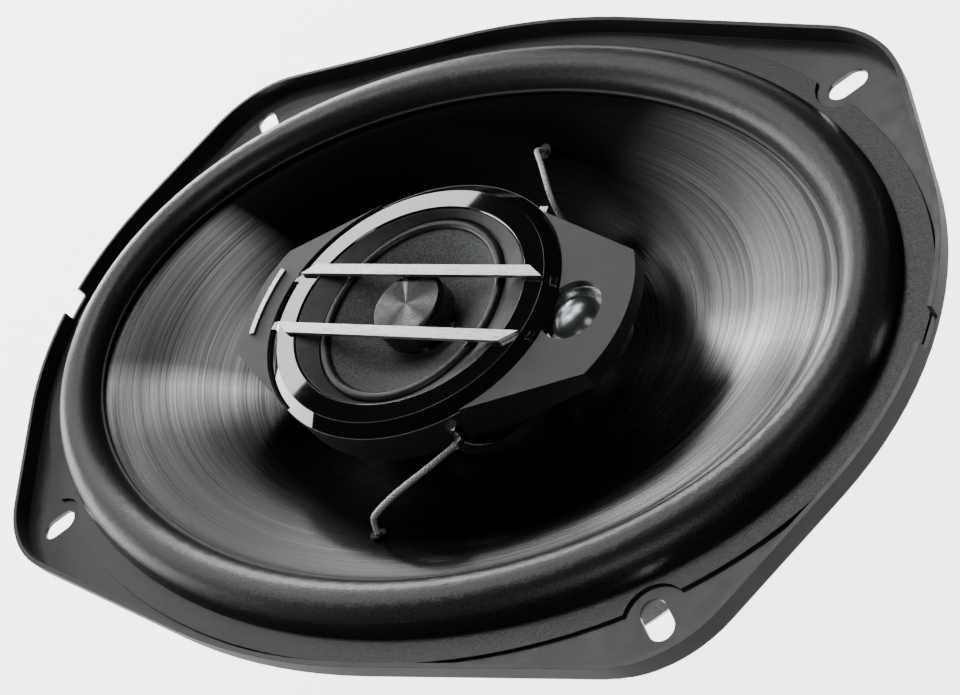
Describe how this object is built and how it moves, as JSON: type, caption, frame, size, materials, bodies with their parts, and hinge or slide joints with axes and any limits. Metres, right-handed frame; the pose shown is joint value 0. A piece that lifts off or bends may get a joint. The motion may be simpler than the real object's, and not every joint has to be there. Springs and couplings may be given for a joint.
{
  "type": "coaxial car speaker",
  "caption": "Oval three-way coaxial car loudspeaker: cone in a windowed steel basket, with a bridge that carries an oval-ringed midrange and a small tweeter.",
  "frame": {"origin": "centre of the flange's rear face, the face that lies on the panel", "axes": "+X along the long axis towards the tweeter, +Y across, +Z out of the front"},
  "size_m": [0.237, 0.164, 0.0895],
  "materials": {
    "basket_paint": "satin black paint on steel",
    "rubber": "matte, finely grained",
    "spider_cloth": "woven, resin treated",
    "zinc": "zinc plated",
    "ferrite": "matte ceramic",
    "board": "pressed laminate",
    "brass": "plain",
    "tinned": "tinned",
    "capacitor_sleeve": "shrink sleeve",
    "bridge_plastic": "satin",
    "ring_gloss": "high gloss",
    "funnel_plastic": "matte",
    "bar_metal": "brushed",
    "bullet_chrome": "spun dark metal",
    "magnet_nickel": "nickel plated",
    "dome_film": "glossy film",
    "tinsel": "braided",
    "cone_pulp": "coated fibre with fine turning lines",
    "former": "thin sheet",
    "copper": "enamelled wire",
    "mid_paper": "speckled paper"
  },
  "bodies": {
    "frame": {"basket_flange": "basket_paint", "basket_bowl": "basket_paint", "surround": "rubber", "spider": "spider_cloth", "top_plate": "zinc", "magnet": "ferrite", "yoke": "zinc", "basket_rivets": "zinc", "bridge_screw": "zinc", "terminal_board": "board", "terminal_rivets": "brass", "terminal_positive": "tinned", "terminal_negative": "tinned", "capacitor": "capacitor_sleeve", "centre_post": "bridge_plastic", "bridge_housing": "bridge_plastic", "trim_ring": "ring_gloss", "funnel": "funnel_plastic", "badge_strip": "bar_metal", "bar_upper": "bar_metal", "bar_lower": "bar_metal", "bar_ribs_upper": "funnel_plastic", "bar_ribs_lower": "funnel_plastic", "mid_frame": "funnel_plastic", "mid_surround": "rubber", "mid_top_plate": "zinc", "mid_magnet": "ferrite", "mid_yoke": "zinc", "bullet": "bullet_chrome", "tweeter_cup": "zinc", "tweeter_magnet": "magnet_nickel", "tweeter_pole": "zinc", "tweeter_trim": "bar_metal", "tweeter_surround": "dome_film", "lead_tab_upper": "tinned", "lead_tab_lower": "tinned", "lead_upper": "tinsel", "lead_lower": "tinsel"},
    "woofer_cone": {"cone": "cone_pulp", "neck_ring": "cone_pulp", "coil_former": "former", "coil_winding": "copper", "eyelet_upper": "brass", "eyelet_lower": "brass"},
    "mid_diaphragm": {"mid_cone": "mid_paper", "mid_coil_former": "former", "mid_coil": "copper"},
    "tweeter_diaphragm": {"tweeter_dome": "dome_film", "tweeter_coil": "copper"}
  },
  "joints": [
    {"name": "woofer_travel", "type": "slide", "parent": "frame", "child": "woofer_cone", "axis": [0, 0, 1], "range_m": [-0.005, 0.005], "stiffness_N_per_m": 2500, "deforming": ["surround", "spider", "lead_upper", "lead_lower"]},
    {"name": "midrange_travel", "type": "slide", "parent": "frame", "child": "mid_diaphragm", "axis": [0, 0, 1], "range_m": [-0.0008, 0.0008], "stiffness_N_per_m": 1200, "deforming": ["mid_surround"]},
    {"name": "tweeter_travel", "type": "slide", "parent": "frame", "child": "tweeter_diaphragm", "axis": [0, 0, 1], "range_m": [-0.0002, 0.0002], "stiffness_N_per_m": 800, "deforming": ["tweeter_surround"]}
  ]
}
